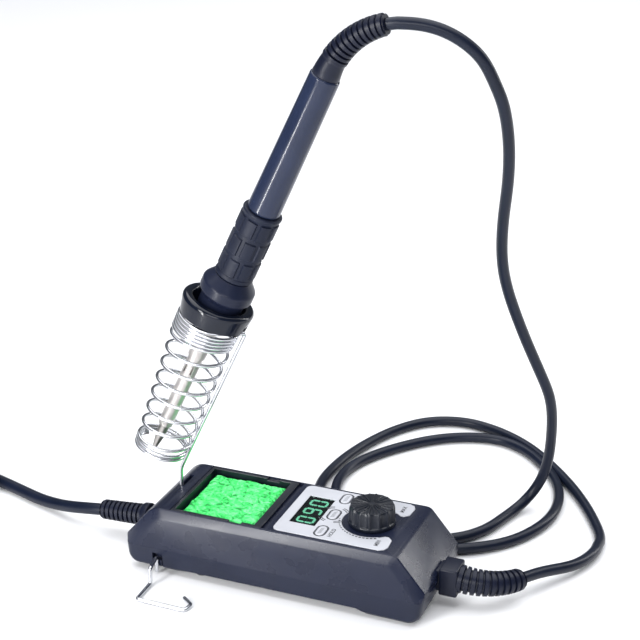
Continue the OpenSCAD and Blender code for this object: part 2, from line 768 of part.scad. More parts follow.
module grip_sleeve() {
    rows = 3;
    columns = 8;
    low = 17;
    row_h = 12.4;
    color("#20242e") at_iron() difference() {
        union() {
            rotate_extrude($fn = 72) polygon([
                [9, low], [10.4, low], [10.7, low + 0.6], [10.2, low + 2.4], [9.9, low + 4],
                [9.9, barrel_z0 - 4], [10.3, barrel_z0 - 3], [grip_d / 2, barrel_z0 - 1.4],
                [grip_d / 2, barrel_z0 - 0.8], [10.4, barrel_z0 - 0.3], [9, barrel_z0 - 0.3]
            ]);
            for (row = [0:rows - 1]) for (i = [0:columns - 1])
                rotate([0, 0, 360 * i / columns + 180 / columns * (row % 2)])
                translate([9.4, -2.9, low + 3.2 + row * row_h]) cube([grip_d / 2 - 9.6, 5.8, row_h - 2.6]);
        }
        translate([0, 0, low - 1]) cylinder(h = 50, d = 16.5);
    }
}

module front_collar() {
    color("#171b26") at_iron() difference() {
        rotate_extrude($fn = 72) polygon([
            [0, -7.6], [10.6, -7.6], [12, -5.4], [12, 2.2], [flange_d / 2 - 0.9, 4.6],
            [flange_d / 2 - 0.2, 5.2], [flange_d / 2, 6], [flange_d / 2 - 0.1, 10.6],
            [flange_d / 2 - 0.6, 11.5], [10.6, 16], [10.2, 16.6], [8.4, 16.6], [8.4, 12], [0, 12]
        ]);
        translate([0, 0, -9]) cylinder(h = 22, d = pipe_d + 0.2);
        translate([0, 0, 1]) cylinder(h = 13, d = 11.8);
    }
}

module pipe_ferrule() {
    teeth = 10;
    color("#b8bac0") at_iron() difference() {
        translate([0, 0, -38.2]) cylinder(h = 30.4, d = pipe_d + 1.6);
        translate([0, 0, -40]) cylinder(h = 40, d = pipe_d + 0.1);
        for (i = [0:teeth - 1]) rotate([0, 0, 360 * i / teeth])
            translate([3, -0.5, -39]) cube([4, 1, 1.8]);
    }
}

module heater_pipe() {
    slots = 6;
    color("#bfc1c6") at_iron() difference() {
        translate([0, 0, -87]) cylinder(h = 97, d = pipe_d);
        translate([0, 0, -88]) cylinder(h = 100, d = pipe_d - 1);
        for (i = [0:slots - 1]) rotate([0, 0, 360 * i / slots])
            block([2, -0.45, -49], [6, 0.45, -42.4]);
    }
}

module heating_element() {
    color("#e8e4da") at_iron() {
        translate([0, 0, -62]) cylinder(h = 68, d = 3.8);
        translate([0, 0, 6]) cylinder(h = 3, d = 7);
    }
}

module iron_tip() {
    color("#a8a29a") at_iron() rotate_extrude() polygon([
        [0, -64.6], [3.6, -64.6], [3.6, -87.4], [3.1, -88], [2.6, -96], [1.1, tip_end + 1.2],
        [0.5, tip_end], [0, tip_end]
    ]);
}

module handle_terminals() {
    color("#2f7d52") at_iron() {
        block([-5, -0.8, 14], [5, 0.8, 52]);
        for (x = [-3.4, 0, 3.4]) translate([x, 0.6, 18]) rotate([-90, 0, 0]) cylinder(h = 1.4, d = 2);
    }
}

module handle_boot() {
    color("#1b1f2b") at_iron() {
        translate([0, 0, barrel_z1 - 8]) cylinder(h = 8.4, d = 12.2);
        translate([0, 0, barrel_z1 + 0.1]) cylinder(h = 3.2, d1 = 14.8, d2 = 14.2);
        translate([0, 0, barrel_z1 + 3.1]) bent_boot(boot_r, boot_turn, 13, 13.9, 11.2, 9);
    }
}

// ---- cords ----

module iron_cord() {
    color("#171b26") tube(iron_cord_route, iron_cord_d);
}

module mains_cord() {
    color("#171b26") tube(mains_cord_route, mains_cord_d);
}

module mains_coil() {
    color("#171b26") translate([coil_at[0], coil_at[1], 0]) rotate_extrude($fn = 64)
        translate([coil_r - mains_cord_d / 2, 0]) square([mains_cord_d, coil_rise + mains_cord_d]);
}

module coil_tie() {
    gap = 0.3;
    strap = 1.2;
    low = [coil_r - mains_cord_d / 2 - gap, 0.02];
    color("#101216") translate([coil_at[0], coil_at[1], 0]) rotate([0, 0, 300]) rotate([90, 0, 0])
        linear_extrude(12, center = true) difference() {
            translate([low[0] - strap, 0])
                square([mains_cord_d + 2 * (gap + strap), coil_rise + mains_cord_d + gap + strap]);
            translate([low[0], -1]) square([mains_cord_d + 2 * gap, coil_rise + mains_cord_d + gap + 1]);
        }
}

module plug_lead() {
    color("#171b26") tube(plug_lead_route, mains_cord_d);
}

module plug_body() {
    color("#171b26") translate(plug_at) rotate([90, 0, 0]) difference() {
        rotate_extrude($fn = 64) polygon([
            [0, 0], [5, 0], [5.6, 0.8], [6.2, 12], [8.6, 20], [14, 24.6], [17, 26.6], [18, 28.6],
            [18, 41], [17.4, 42], [0, 42]
        ]);
        for (side = [-1, 1]) block([side * 18 - 1.6, -3, 30], [side * 18 + 1.6, 3, 44]);
        translate([0, -4.6 - 8, 34]) cylinder(h = 10, d = 5);
    }
}

module plug_pins() {
    color("#d8d4c6") translate(plug_at) rotate([90, 0, 0])
    for (side = [-1, 1]) translate([side * 9.5, 0, 0]) {
        translate([0, 0, 42]) cylinder(h = 18, d = 4.8);
        translate([0, 0, 60]) cylinder(h = 1, d1 = 4.8, d2 = 3.4);
    }
}

lower_shell();
upper_shell();
case_screws();
rubber_feet();
sponge_tray();
sponge();
faceplate();
display_window();
display_module();
display_digits();
control_board();
board_screws();
potentiometer();
knob_shaft();
control_knob();
button_up();
button_down();
button_hold();
tact_switches();
power_triac();
heat_sink();
mains_fuse();
filter_capacitor();
supply_capacitor();
terminal_blocks();
inner_mains_wires();
inner_iron_wires();
mains_boot();
iron_cord_boot();
wire_foot();
holder_wire();
holder_collar();
handle_barrel();
grip_sleeve();
front_collar();
pipe_ferrule();
heater_pipe();
heating_element();
iron_tip();
handle_terminals();
handle_boot();
iron_cord();
mains_cord();
mains_coil();
coil_tie();
plug_lead();
plug_body();
plug_pins();
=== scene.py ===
import math

import bmesh
import bpy
from mathutils import Matrix, Vector, noise


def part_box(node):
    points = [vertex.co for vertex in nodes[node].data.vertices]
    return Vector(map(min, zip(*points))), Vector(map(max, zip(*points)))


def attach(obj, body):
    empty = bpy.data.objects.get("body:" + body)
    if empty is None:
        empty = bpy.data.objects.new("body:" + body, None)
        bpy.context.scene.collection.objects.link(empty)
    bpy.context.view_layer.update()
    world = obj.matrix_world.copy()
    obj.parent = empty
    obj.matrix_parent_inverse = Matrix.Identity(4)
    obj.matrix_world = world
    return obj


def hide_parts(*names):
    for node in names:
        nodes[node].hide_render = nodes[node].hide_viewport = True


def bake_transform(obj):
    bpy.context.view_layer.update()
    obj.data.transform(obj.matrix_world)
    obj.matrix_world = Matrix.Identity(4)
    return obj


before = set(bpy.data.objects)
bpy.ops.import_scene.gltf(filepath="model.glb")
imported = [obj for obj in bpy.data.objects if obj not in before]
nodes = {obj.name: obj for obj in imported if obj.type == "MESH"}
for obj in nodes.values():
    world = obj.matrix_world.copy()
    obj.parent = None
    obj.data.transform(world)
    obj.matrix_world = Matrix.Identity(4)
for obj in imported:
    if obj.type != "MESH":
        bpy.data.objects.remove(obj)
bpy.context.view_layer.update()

scene = bpy.context.scene

# Lengths below are millimetres, as in the CAD source; MM turns them into metres.
MM = 0.001
BASE = Vector((-6, 16, 0))
SEAT = Vector((-39, 0, 154.7))
HOLDER = Vector((-42.8, 1, 154.7))
AT_BASE = Matrix.Translation(BASE)
AT_IRON = Matrix.Translation(BASE + SEAT) @ Matrix.Rotation(math.radians(25), 4, "Y")
AT_HOLDER = (
    Matrix.Translation(BASE + HOLDER)
    @ Matrix.Rotation(math.radians(20), 4, "Y")
    @ Matrix.Rotation(math.radians(-4.5), 4, "X")
)


# ---- camera ----

def make_camera():
    turn, drop = math.radians(21.92), math.radians(22.19)
    right = Vector((math.cos(turn), math.sin(turn), 0))
    ahead = Vector((-math.sin(turn) * math.cos(drop), math.cos(turn) * math.cos(drop),
                    -math.sin(drop)))
    up = right.cross(ahead)
    data = bpy.data.cameras.new("camera")
    data.lens = 90
    data.sensor_width = 36
    data.clip_start = 0.05
    data.clip_end = 20
    camera = bpy.data.objects.new("camera", data)
    scene.collection.objects.link(camera)
    camera.matrix_world = Matrix.Translation((0.29745, -0.69629, 0.46489)) @ Matrix(
        (right, up, -ahead)
    ).transposed().to_4x4()
    scene.camera = camera


make_camera()


# ---- materials ----

def surface(name, color, rough=0.4, metal=0.0, coat=0.0, mottle=0.08, patch=14, grain=0.0,
            grain_size=0.4,
            rough_vary=0.06, emit=0.0, clear=0.0, soft=0.0, shine=0.5):
    """A procedural finish: colour drifts over patch mm, and fine bumps are grain_size mm apart."""
    m = bpy.data.materials.new(name)
    m.use_nodes = True
    tree = m.node_tree
    add, link = tree.nodes.new, tree.links.new
    shader = tree.nodes["Principled BSDF"]
    shader.inputs["Metallic"].default_value = metal
    shader.inputs["Coat Weight"].default_value = coat
    shader.inputs["Coat Roughness"].default_value = 0.12
    shader.inputs["Transmission Weight"].default_value = clear
    shader.inputs["Subsurface Weight"].default_value = soft
    shader.inputs["Specular IOR Level"].default_value = shine
    if soft:
        shader.inputs["Subsurface Radius"].default_value = (0.001, 0.003, 0.001)
    place = add("ShaderNodeTexCoord")
    stretch = add("ShaderNodeMapping")
    link(place.outputs["Object"], stretch.inputs["Vector"])
    drift = add("ShaderNodeTexNoise")
    drift.inputs["Scale"].default_value = 1000 / patch
    drift.inputs["Detail"].default_value = 4
    link(stretch.outputs["Vector"], drift.inputs["Vector"])
    ramp = add("ShaderNodeValToRGB")
    ramp.color_ramp.elements[0].position = 0.3
    ramp.color_ramp.elements[1].position = 0.7
    ramp.color_ramp.elements[0].color = [c * (1 - mottle) for c in color] + [1]
    ramp.color_ramp.elements[1].color = [min(1, c * (1 + mottle)) for c in color] + [1]
    link(drift.outputs["Fac"], ramp.inputs["Fac"])
    link(ramp.outputs["Color"], shader.inputs["Base Color"])
    if emit:
        link(ramp.outputs["Color"], shader.inputs["Emission Color"])
        shader.inputs["Emission Strength"].default_value = emit
    spread = add("ShaderNodeMapRange")
    spread.inputs["To Min"].default_value = max(0.02, rough - rough_vary)
    spread.inputs["To Max"].default_value = min(1, rough + rough_vary)
    link(drift.outputs["Fac"], spread.inputs["Value"])
    link(spread.outputs["Result"], shader.inputs["Roughness"])
    if grain:
        fine = add("ShaderNodeTexNoise")
        fine.inputs["Scale"].default_value = 1000 / grain_size
        fine.inputs["Detail"].default_value = 3
        link(stretch.outputs["Vector"], fine.inputs["Vector"])
        bump = add("ShaderNodeBump")
        bump.inputs["Strength"].default_value = grain
        bump.inputs["Distance"].default_value = 0.0002
        link(fine.outputs["Fac"], bump.inputs["Height"])
        link(bump.outputs["Normal"], shader.inputs["Normal"])
    return m


def sponge_surface():
    """Cellulose sponge: its own green, with painted light as pale walls and painted shade as deeper green in
    the pores, spread by fibre noise.
    """
    m = surface("sponge_foam", (0.045, 0.72, 0.155), rough=0.72, mottle=0.25, patch=5, soft=0.15)
    tree = m.node_tree
    add, link = tree.nodes.new, tree.links.new
    shader = tree.nodes["Principled BSDF"]
    place = next(n for n in tree.nodes if n.type == "MAPPING")
    cells = add("ShaderNodeTexVoronoi")
    cells.inputs["Scale"].default_value = 520
    cells.inputs["Randomness"].default_value = 1
    link(place.outputs["Vector"], cells.inputs["Vector"])
    fibre = add("ShaderNodeTexNoise")
    fibre.inputs["Scale"].default_value = 260
    fibre.inputs["Detail"].default_value = 6
    fibre.inputs["Distortion"].default_value = 1.2
    link(place.outputs["Vector"], fibre.inputs["Vector"])
    # Dark stop: painted shade of the pores; middle stop: the sponge's own green; pale stop: painted light on
    # the walls.
    ramp = add("ShaderNodeValToRGB")
    ramp.color_ramp.elements[0].position = 0.36
    ramp.color_ramp.elements[0].color = (0.004, 0.26, 0.04, 1)
    ramp.color_ramp.elements[1].position = 0.72
    ramp.color_ramp.elements[1].color = (0.22, 0.93, 0.34, 1)
    middle = ramp.color_ramp.elements.new(0.47)
    middle.color = (0.035, 0.74, 0.135, 1)
    link(fibre.outputs["Fac"], ramp.inputs["Fac"])
    link(ramp.outputs["Color"], shader.inputs["Base Color"])
    bump = add("ShaderNodeBump")
    bump.inputs["Strength"].default_value = 0.8
    bump.inputs["Distance"].default_value = 0.0006
    link(cells.outputs["Distance"], bump.inputs["Height"])
    second = add("ShaderNodeBump")
    second.inputs["Strength"].default_value = 0.6
    second.inputs["Distance"].default_value = 0.0005
    link(fibre.outputs["Fac"], second.inputs["Height"])
    link(bump.outputs["Normal"], second.inputs["Normal"])
    link(second.outputs["Normal"], shader.inputs["Normal"])
    return m


CASE = surface("case_plastic", (0.008, 0.011, 0.027), rough=0.28, mottle=0.10, grain=0.03,
               grain_size=0.35, shine=0.28)
CASE_LOW = surface("case_plastic_low", (0.007, 0.010, 0.025), rough=0.34, mottle=0.10, grain=0.06,
                   grain_size=0.35,
                   shine=0.28)
TRAY = surface("tray_plastic", (0.006, 0.008, 0.015), rough=0.3, mottle=0.12, grain=0.05,
               shine=0.35)
SPONGE = sponge_surface()
PLATE = surface("plate_metal", (0.50, 0.51, 0.55), rough=0.45, metal=0.2, mottle=0.03, grain=0.08,
                grain_size=0.25)
WINDOW = surface("window_clear", (0.22, 0.27, 0.26), rough=0.06, mottle=0.02, clear=1.0,
                 rough_vary=0.01)
BLACK = surface("module_black", (0.004, 0.005, 0.005), rough=0.6, mottle=0.2, grain=0.04)
DIGITS = surface("lit_digits", (0.36, 1.0, 0.66), rough=0.5, mottle=0.03, emit=2.6)
INK = surface("panel_ink", (0.03, 0.032, 0.04), rough=0.55, mottle=0.2, grain=0.05)
KNOB = surface("knob_plastic", (0.005, 0.007, 0.013), rough=0.3, mottle=0.12, grain=0.05,
               grain_size=0.3, shine=0.4)
BUTTON = surface("button_plastic", (0.50, 0.51, 0.55), rough=0.35, mottle=0.05, grain=0.05)
STEEL = surface("holder_steel", (0.62, 0.63, 0.66), rough=0.2, metal=1.0, mottle=0.05, patch=6,
                grain=0.03)
COLLAR = surface("collar_plastic", (0.003, 0.005, 0.012), rough=0.14, mottle=0.12, grain=0.03,
                 shine=0.34)
HANDLE = surface("handle_plastic", (0.013, 0.019, 0.044), rough=0.16, mottle=0.08, grain=0.04,
                 grain_size=0.5, shine=0.34)
GRIP = surface("grip_rubber", (0.006, 0.009, 0.022), rough=0.48, mottle=0.12, grain=0.16,
               grain_size=0.3, shine=0.24)
FRONT = surface("front_plastic", (0.008, 0.011, 0.026), rough=0.34, mottle=0.08, grain=0.04,
                shine=0.22)
PIPE = surface("pipe_steel", (0.60, 0.57, 0.55), rough=0.34, metal=1.0, mottle=0.05, patch=9,
               grain=0.03,
               grain_size=0.3)
TIP = surface("tip_steel", (0.42, 0.40, 0.38), rough=0.36, metal=1.0, mottle=0.15, patch=3,
              grain=0.04)
BOOT = surface("boot_rubber", (0.005, 0.007, 0.018), rough=0.36, mottle=0.12, grain=0.08,
               grain_size=0.3, shine=0.26)
CORD = surface("cord_rubber", (0.004, 0.007, 0.018), rough=0.34, mottle=0.12, grain=0.05,
               grain_size=0.5, shine=0.27)
TIE = surface("tie_plastic", (0.010, 0.010, 0.014), rough=0.5, mottle=0.2, grain=0.1)
PLUG = surface("plug_plastic", (0.016, 0.018, 0.026), rough=0.42, mottle=0.12, grain=0.12,
               grain_size=0.5)
PINS = surface("pin_brass", (0.74, 0.70, 0.60), rough=0.22, metal=1.0, mottle=0.08, grain=0.05)
SCREW = surface("screw_steel", (0.62, 0.63, 0.65), rough=0.3, metal=1.0, mottle=0.1, grain=0.08)
FEET = surface("foot_rubber", (0.022, 0.022, 0.025), rough=0.7, mottle=0.15, grain=0.15)
BOARD = surface("board_green", (0.02, 0.16, 0.07), rough=0.35, mottle=0.15, patch=4, grain=0.06)
SINK = surface("sink_aluminium", (0.62, 0.63, 0.65), rough=0.35, metal=1.0, mottle=0.08, grain=0.08)
FUSE = surface("fuse_glass", (0.85, 0.88, 0.88), rough=0.08, clear=0.8, mottle=0.03)
YELLOW = surface("capacitor_yellow", (0.62, 0.40, 0.05), rough=0.4, mottle=0.1)
BLUE = surface("capacitor_blue", (0.02, 0.06, 0.18), rough=0.35, mottle=0.1)
TERMINAL = surface("terminal_green", (0.04, 0.28, 0.12), rough=0.4, mottle=0.1)
BROWN = surface("wire_brown", (0.20, 0.08, 0.03), rough=0.4, mottle=0.1)
RED = surface("wire_red", (0.42, 0.03, 0.03), rough=0.4, mottle=0.1)
CERAMIC = surface("element_ceramic", (0.78, 0.76, 0.70), rough=0.6, mottle=0.06, grain=0.1)

CAD_FINISH = {
    "case_screws": SCREW, "rubber_feet": FEET, "display_module": BLACK, "control_board": BOARD,
    "board_screws": SCREW, "potentiometer": SINK, "knob_shaft": SINK, "tact_switches": BLACK,
    "power_triac": BLACK, "heat_sink": SINK, "mains_fuse": FUSE, "filter_capacitor": YELLOW,
    "supply_capacitor": BLUE, "terminal_blocks": TERMINAL, "inner_mains_wires": BROWN,
    "inner_iron_wires": RED, "heating_element": CERAMIC, "handle_terminals": BOARD,
}


def dress(obj, finish):
    obj.data.materials.clear()
    obj.data.materials.append(finish)


for cad_node, cad_finish in CAD_FINISH.items():
    dress(nodes[cad_node], cad_finish)


# ---- building helpers ----

def new_piece(name, mesh, finish, body, slot, *replaced):
    piece = bpy.data.objects.new(name, mesh)
    scene.collection.objects.link(piece)
    dress(piece, finish)
    if body:
        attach(piece, body)
    if replaced:
        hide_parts(*replaced)
    return piece


def smooth(mesh, angle=35):
    for face in mesh.polygons:
        face.use_smooth = True
    mesh.set_sharp_from_angle(angle=math.radians(angle))


def mesh_from(bm, name, angle=35):
    mesh = bpy.data.meshes.new(name)
    bm.normal_update()
    bm.to_mesh(mesh)
    bm.free()
    smooth(mesh, angle)
    return mesh


def softened(node, finish, body, slot, width=0.4, segments=3, angle=24):
    """The CAD piece again, with its flat faces made whole and its edges rounded by width mm."""
    bm = bmesh.new()
    bm.from_mesh(nodes[node].data)
    bmesh.ops.remove_doubles(bm, verts=bm.verts, dist=1e-6)
    bmesh.ops.dissolve_limit(bm, angle_limit=math.radians(0.6), verts=bm.verts, edges=bm.edges)
    piece = new_piece(node + "_soft", mesh_from(bm, node + "_soft", 40), finish, body, slot, node)
    bevel = piece.modifiers.new("edges", "BEVEL")
    bevel.width = width * MM
    bevel.segments = segments
    bevel.limit_method = "ANGLE"
    bevel.angle_limit = math.radians(angle)
    bevel.harden_normals = True
    return piece


def filleted(points, r, steps=4):
    """A closed outline with every corner off the axis rounded by up to r."""
    out = []
    count = len(points)
    for i, p in enumerate(points):
        here = Vector(p[:2])
        a, b = Vector(points[i - 1][:2]) - here, Vector(points[(i + 1) % count][:2]) - here
        if p[0] < 0.01 or a.length < 1e-6 or b.length < 1e-6:
            out.append(tuple(here))
            continue
        reach = min(p[2] if len(p) > 2 else r, a.length * 0.45, b.length * 0.45)
        first, last = here + a.normalized() * reach, here + b.normalized() * reach
        for k in range(steps + 1):
            t = k / steps
            out.append(tuple((1 - t) ** 2 * first + 2 * t * (1 - t) * here + t * t * last))
    return out


def lathe(name, outline, place, segments=128, r=0.4, shape=None):
    """Turns a closed outline of (radius, height) about Z. shape(radius, height, angle) may move a point."""
    outline = filleted([tuple(p) for p in outline], r)
    bm = bmesh.new()
    rings = []
    for radius, height in outline:
        ring = []
        for k in range(segments):
            angle = 2 * math.pi * k / segments
            rr, zz = shape(radius, height, angle) if shape else (radius, height)
            point = place @ Vector((rr * math.cos(angle), rr * math.sin(angle), zz))
            ring.append(bm.verts.new(point * MM))
        rings.append(ring)
    for i in range(len(rings)):
        a, b = rings[i - 1], rings[i]
        if outline[i - 1][0] < 0.01 and outline[i][0] < 0.01:
            continue
        for k in range(segments):
            q = (k + 1) % segments
            bm.faces.new((a[k], a[q], b[q], b[k]))
    bmesh.ops.remove_doubles(bm, verts=bm.verts, dist=1e-7)
    bmesh.ops.recalc_face_normals(bm, faces=bm.faces)
    return mesh_from(bm, name)


def sweep(name, centres, radii, place=None, segments=32, closed_ends=True):
    """A round sweep through centres, with one radius at each."""
    place = place or Matrix.Identity(4)
    pts = [place @ Vector(c) for c in centres]
    bm = bmesh.new()
    side = None
    rings = []
    for i, p in enumerate(pts):
        ahead = (pts[min(i + 1, len(pts) - 1)] - pts[max(i - 1, 0)]).normalized()
        if side is None:
            side = ahead.orthogonal()
        side = (side - ahead * side.dot(ahead)).normalized()
        other = ahead.cross(side)
        rings.append([
            bm.verts.new((p + radii[i] * (math.cos(a) * side + math.sin(a) * other)) * MM)
            for a in (2 * math.pi * k / segments for k in range(segments))
        ])
    for a, b in zip(rings, rings[1:]):
        for k in range(segments):
            q = (k + 1) % segments
            bm.faces.new((a[k], a[q], b[q], b[k]))
    if closed_ends:
        bm.faces.new(list(reversed(rings[0])))
        bm.faces.new(rings[-1])
    return mesh_from(bm, name, 40)


def spline_points(route, step=2.5):
    """Points of a smooth line through route, about step mm apart."""
    pts = [Vector(p) for p in route]
    pts = [pts[0] * 2 - pts[1]] + pts + [pts[-1] * 2 - pts[-2]]
    out = []
    for i in range(1, len(pts) - 2):
        p0, p1, p2, p3 = pts[i - 1:i + 3]
        d0, d1, d2 = [max(1e-6, (b - a).length) ** 0.5 for a, b in ((p0, p1), (p1, p2), (p2, p3))]
        m1 = (p2 - p1) + d1 * ((p1 - p0) / d0 - (p2 - p0) / (d0 + d1))
        m2 = (p2 - p1) + d1 * ((p3 - p2) / d2 - (p3 - p1) / (d1 + d2))
        n = max(1, round((p2 - p1).length / step))
        for k in range(n):
            t = k / n
            out.append(
                (2 * t ** 3 - 3 * t * t + 1) * p1 + (t ** 3 - 2 * t * t + t) * m1
                + (3 * t * t - 2 * t ** 3) * p2 + (t ** 3 - t * t) * m2
            )
    out.append(pts[-2])
    return out


def relaxed(points, rounds, hold=3):
    """The same line with its small kinks eased, its ends held."""
    pts = [p.copy() for p in points]
    for _ in range(rounds):
        last = pts[:]
        for i in range(hold, len(pts) - hold):
            pts[i] = (last[i - 1] + 2 * last[i] + last[i + 1]) / 4
    return pts


# ---- cords ----

IRON_CORD_D = 6.2
IRON_CORD_ROUTE = [
    (45.1, 16, 308.4), (52.4, 16.6, 309.5), (58, 18, 309.4), (65, 20, 308.4), (73, 23, 305.4),
    (80, 26, 301),
    (86, 29, 295.6), (90, 33, 288.6), (93, 37, 279.6), (96, 42, 269.6), (97, 47, 259.6),
    (97, 55, 242), (95, 63, 222.6), (91, 72, 199), (89, 79, 180.6), (89, 84, 167),
    (91, 90, 151.6), (98, 102, 122.6), (105, 112, 99), (110, 119, 81.6), (111, 124, 68),
    (110, 130, 50), (108, 134, 32), (103, 134, 15), (96, 128, 5), (90, 112, 3.1),
    (84, 93, 3.1), (74, 79, 3.1), (58, 69, 3.1), (38, 65, 3.1), (18, 69, 3.1), (1, 80, 3.1),
    (-12, 98, 3.1), (-18, 120, 3.1), (-16, 140, 3.1), (-8, 158, 3.1), (6, 178, 3.1),
    (22, 194, 3.1), (40, 204, 3.1), (60, 207, 3.1), (78, 199, 3.1), (94, 183, 3.1),
    (107, 164, 3.1), (114, 143, 3.1), (115, 122, 3.1), (110, 102, 3.1), (100, 84, 3.1),
    (84, 70, 3.1), (64, 60, 3.1), (42, 56, 3.1), (18, 58, 3.1), (-4, 68, 3.1), (-18, 86, 3.1),
    (-26, 108, 3.1), (-26, 136, 3.1), (-20, 166, 3.1), (-8, 196, 3.1), (8, 216, 3.1),
    (30, 224, 3.1), (54, 219, 3.1), (78, 205, 3.1), (100, 183, 3.1), (122, 155, 3.1),
    (139, 126, 3.1), (148, 104, 3.3), (147, 84, 4.2), (142, 69, 5.6), (136, 59, 7.4),
    (128, 48, 9.6),
    (119.4, 32.6, 11.7),
]


def make_iron_cord():
    line = relaxed(spline_points(IRON_CORD_ROUTE), 10)
    for p in line:
        p.z = max(p.z, IRON_CORD_D / 2 + 0.02)
        p.x = min(p.x, 147.9)
    mesh = sweep("iron_cord_flex", line, [IRON_CORD_D / 2] * len(line), segments=20)
    piece = new_piece("iron_cord_flex", mesh, CORD, None, "cord_rubber", "iron_cord")
    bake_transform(piece)
    return piece


MAINS_D = 7.0
MAINS_CORD_ROUTE = [
    (-124, 16, 12.4), (-134, 16, 11.2), (-146, 18, 8.6), (-158, 22, 5.6), (-172, 26, 3.9),
    (-190, 32, 3.5), (-209, 38, 3.5), (-226, 43, 3.5), (-239.7, 46.8, 3.5),
]
PLUG_LEAD_ROUTE = [
    (-289.5, 10, 34.4), (-289.5, 1, 33.2), (-289, -8, 29.8), (-288.4, -18, 24.8),
    (-287.8, -27, 20.6), (-287.2, -34, 18.6), (-287, -41, 18),
]
COIL_AT = Vector((-251, 10, 0))
COIL_R = 38.5
COIL_RISE = 31


def make_mains_cord():
    start, end = math.radians(73), math.radians(180)
    turns = 4 * 2 * math.pi + (end - start)
    coil = []
    count = 240
    for i in range(1, count):
        t = i / count
        angle = start + turns * t
        coil.append(COIL_AT + Vector((
            COIL_R * math.cos(angle), COIL_R * math.sin(angle), MAINS_D / 2 + COIL_RISE * t
        )))
    lead_in = spline_points(MAINS_CORD_ROUTE)
    lead_out = spline_points(PLUG_LEAD_ROUTE)
    line = relaxed(lead_in + coil + lead_out, 8)
    curve = bpy.data.curves.new("mains_cord_flex", "CURVE")
    curve.dimensions = "3D"
    spline = curve.splines.new("POLY")
    spline.points.add(len(line) - 1)
    for point, p in zip(spline.points, line):
        p.z = max(p.z, MAINS_D / 2 + 0.02)
        point.co = (*(p * MM), 1)
    curve.bevel_depth = MAINS_D / 2 * MM
    curve.bevel_resolution = 6
    curve.use_fill_caps = True
    piece = bpy.data.objects.new("mains_cord_flex", curve)
    scene.collection.objects.link(piece)
    curve.materials.append(CORD)
    for s in curve.splines:
        s.use_smooth = True
    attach(piece, "base")
    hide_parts("mains_cord", "mains_coil", "plug_lead")
    return piece, line


make_iron_cord()
mains_cord, mains_line = make_mains_cord()


# ---- plug and tie ----

tie = softened("coil_tie", TIE, "base", "tie_plastic", 0.3)
plug = softened("plug_body", PLUG, "base", "plug_plastic", 0.5)
pins = softened("plug_pins", PINS, "base", "pin_brass", 0.3)


# ---- casing ----

softened("upper_shell", CASE, "base", "case_plastic", 0.7, 4, 22)
softened("lower_shell", CASE_LOW, "base", "case_plastic", 0.8, 3, 24)
softened("sponge_tray", TRAY, "tray", "tray_plastic", 0.35)
softened("faceplate", PLATE, "base", "plate_metal", 0.12, 2)
softened("display_window", WINDOW, "base", "window_clear", 0.05, 2)
for which in ("up", "down", "hold"):
    softened("button_" + which, BUTTON, "button_" + which, "button_plastic", 0.25)


# ---- sponge ----

def make_sponge():
    low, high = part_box("sponge")
    low, high = low / MM, high / MM
    step = 0.55
    inset = 0.3
    nx, ny = round((high.x - low.x) / step), round((high.y - low.y) / step)
    depth = 10
    bm = bmesh.new()
    top = {}

    def edge_wave(s, seed):
        return 0.55 * noise.noise(Vector((s * 0.16, seed, 0))) + 0.45 * noise.noise(Vector((s * 0.5,
                                                                                            seed,
                                                                                            5)))

    def place(i, j):
        u, v = i / nx, j / ny
        x = low.x + inset + (high.x - low.x - 2 * inset) * u
        y = low.y + inset + (high.y - low.y - 2 * inset) * v
        x += (1 - u) ** 8 * (0.8 + 1.1 * edge_wave(y, 1.3)) - u ** 8 * (0.8 + 1.1 * edge_wave(y,
                                                                                              7.7))
        y += (1 - v) ** 8 * (0.9 + 1.3 * edge_wave(x, 3.1)) - v ** 8 * (0.9 + 1.3 * edge_wave(x,
                                                                                              9.4))
        border = min(u * nx, (1 - u) * nx, v * ny, (1 - v) * ny) * step
        q = Vector((x, y, 0))
        swell = 0.7 * noise.noise(q * 0.09) + 0.45 * noise.noise(q * 0.28 + Vector((9, 2, 0)))
        warp = q + 1.3 * Vector((noise.noise(q * 0.35), noise.noise(q * 0.35 + Vector((31, 7, 0))),
                                 0))
        pore = 0.0
        for scale, strength, size in ((0.30, 1.5, 0.30), (0.62, 0.9, 0.28), (1.15, 0.5, 0.3)):
            near = noise.voronoi(warp * scale)[0][0]
            pore += strength * max(0.0, 1 - near / size) ** 0.8
        rough = 0.16 * noise.noise(q * 1.9)
        round_off = 1.9 * max(0.0, 1 - border / 2.4) ** 2
        z = high.z - 0.9 + swell - pore + rough - round_off
        return Vector((x, y, min(high.z - 0.02, z)))

    for i in range(nx + 1):
        for j in range(ny + 1):
            top[i, j] = bm.verts.new(place(i, j) * MM)
    for i in range(nx):
        for j in range(ny):
            bm.faces.new((top[i, j], top[i + 1, j], top[i + 1, j + 1], top[i, j + 1]))
    ring = (
        [(i, 0) for i in range(nx)] + [(nx, j) for j in range(ny)]
        + [(i, ny) for i in range(nx, 0, -1)] + [(0, j) for j in range(ny, 0, -1)]
    )
    above = [top[k] for k in ring]
    mid = Vector(((low.x + high.x) / 2, (low.y + high.y) / 2, 0))
    for level in range(1, depth + 1):
        row = []
        for v in above:
            p = v.co / MM
            z = p.z + (low.z + 0.05 - p.z) / (depth - level + 1)
            out = 0.35 * noise.noise(p * 0.8 + Vector((0, 0, level)))
            away = Vector((p.x - mid.x, p.y - mid.y, 0)).normalized()
            q = Vector((p.x, p.y, z)) + away * (out + 0.05)
            q.x = min(high.x, max(low.x, q.x))
            q.y = min(high.y, max(low.y, q.y))
            row.append(bm.verts.new(q * MM))
        for k in range(len(row)):
            n = (k + 1) % len(row)
            bm.faces.new((above[n], above[k], row[k], row[n]))
        above = row
    bm.faces.new(above)
    bmesh.ops.recalc_face_normals(bm, faces=bm.faces)
    piece = new_piece("sponge_pad", mesh_from(bm, "sponge_pad", 180), SPONGE, "sponge",
                      "sponge_foam", "sponge")


make_sponge()


# ---- control panel ----

